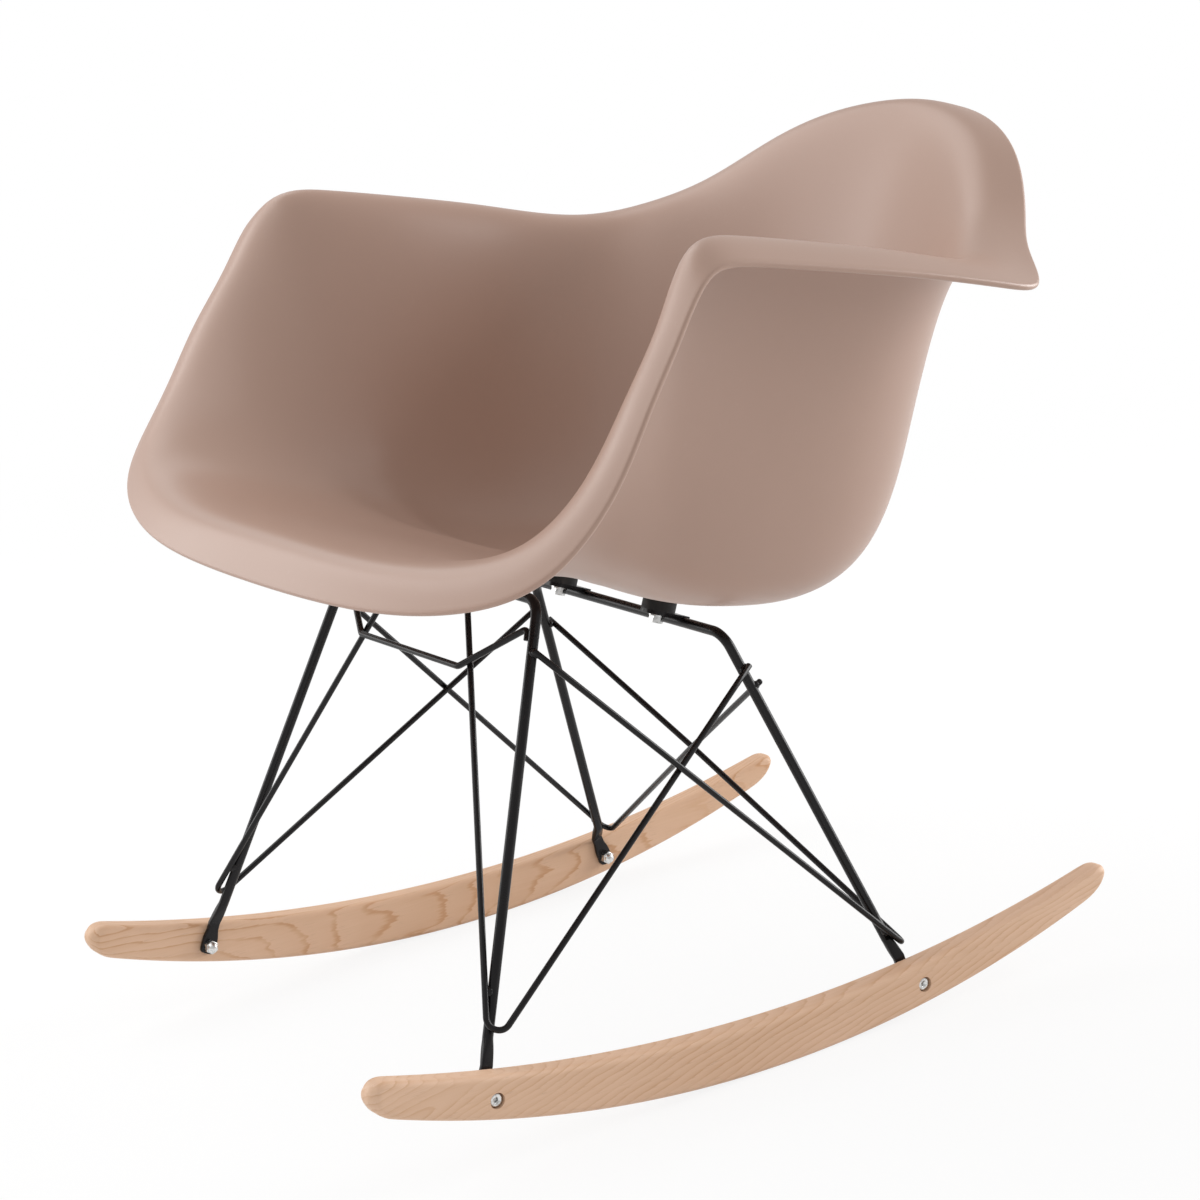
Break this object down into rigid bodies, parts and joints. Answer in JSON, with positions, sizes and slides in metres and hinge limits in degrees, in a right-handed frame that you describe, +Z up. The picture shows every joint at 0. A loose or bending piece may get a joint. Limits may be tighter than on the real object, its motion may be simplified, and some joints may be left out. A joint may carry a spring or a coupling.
{
  "type": "moulded rocking chair",
  "caption": "Moulded bucket armchair shell on a bent rod and wire frame with two curved wooden rockers.",
  "frame": {"origin": "on the floor under the middle of the chair's bounding box, with the empty chair at rest", "axes": "+Z up, -Y towards the sitter's front, +X towards the sitter's left; symmetric about the plane X = 0 but for the two long wires that pass each other behind"},
  "size_m": [0.6468, 0.7404, 0.6687],
  "materials": {
    "shell_plastic": "satin moulded",
    "ash_wood": "clear satin lacquer",
    "black_rubber": "matt",
    "insert_brass": "turned",
    "zinc_steel": "zinc plated",
    "black_coat": "satin powder coat"
  },
  "bodies": {
    "root": {"acorn_nut_front_left": "zinc_steel", "acorn_nut_front_right": "zinc_steel", "acorn_nut_rear_left": "zinc_steel", "acorn_nut_rear_right": "zinc_steel", "front_brace": "black_coat", "front_foot_wire_left": "black_coat", "front_foot_wire_right": "black_coat", "front_frame_rod": "black_coat", "mount_tab_front_left": "black_coat", "mount_tab_front_right": "black_coat", "mount_tab_rear_left": "black_coat", "mount_tab_rear_right": "black_coat", "rear_foot_wire_left": "black_coat", "rear_foot_wire_right": "black_coat", "rear_frame_rod": "black_coat", "rocker_bolt_front_left": "zinc_steel", "rocker_bolt_front_right": "zinc_steel", "rocker_bolt_rear_left": "zinc_steel", "rocker_bolt_rear_right": "zinc_steel", "rocker_left": "ash_wood", "rocker_right": "ash_wood", "seat_bolt_front_left": "zinc_steel", "seat_bolt_front_right": "zinc_steel", "seat_bolt_rear_left": "zinc_steel", "seat_bolt_rear_right": "zinc_steel", "seat_shell": "shell_plastic", "spacer_front_left": "black_rubber", "spacer_front_right": "black_rubber", "spacer_rear_left": "black_rubber", "spacer_rear_right": "black_rubber", "threaded_insert_front_left": "insert_brass", "threaded_insert_front_right": "insert_brass", "threaded_insert_rear_left": "insert_brass", "threaded_insert_rear_right": "insert_brass", "washer_front_left": "zinc_steel", "washer_front_right": "zinc_steel", "washer_rear_left": "zinc_steel", "washer_rear_right": "zinc_steel"}
  },
  "joints": []
}
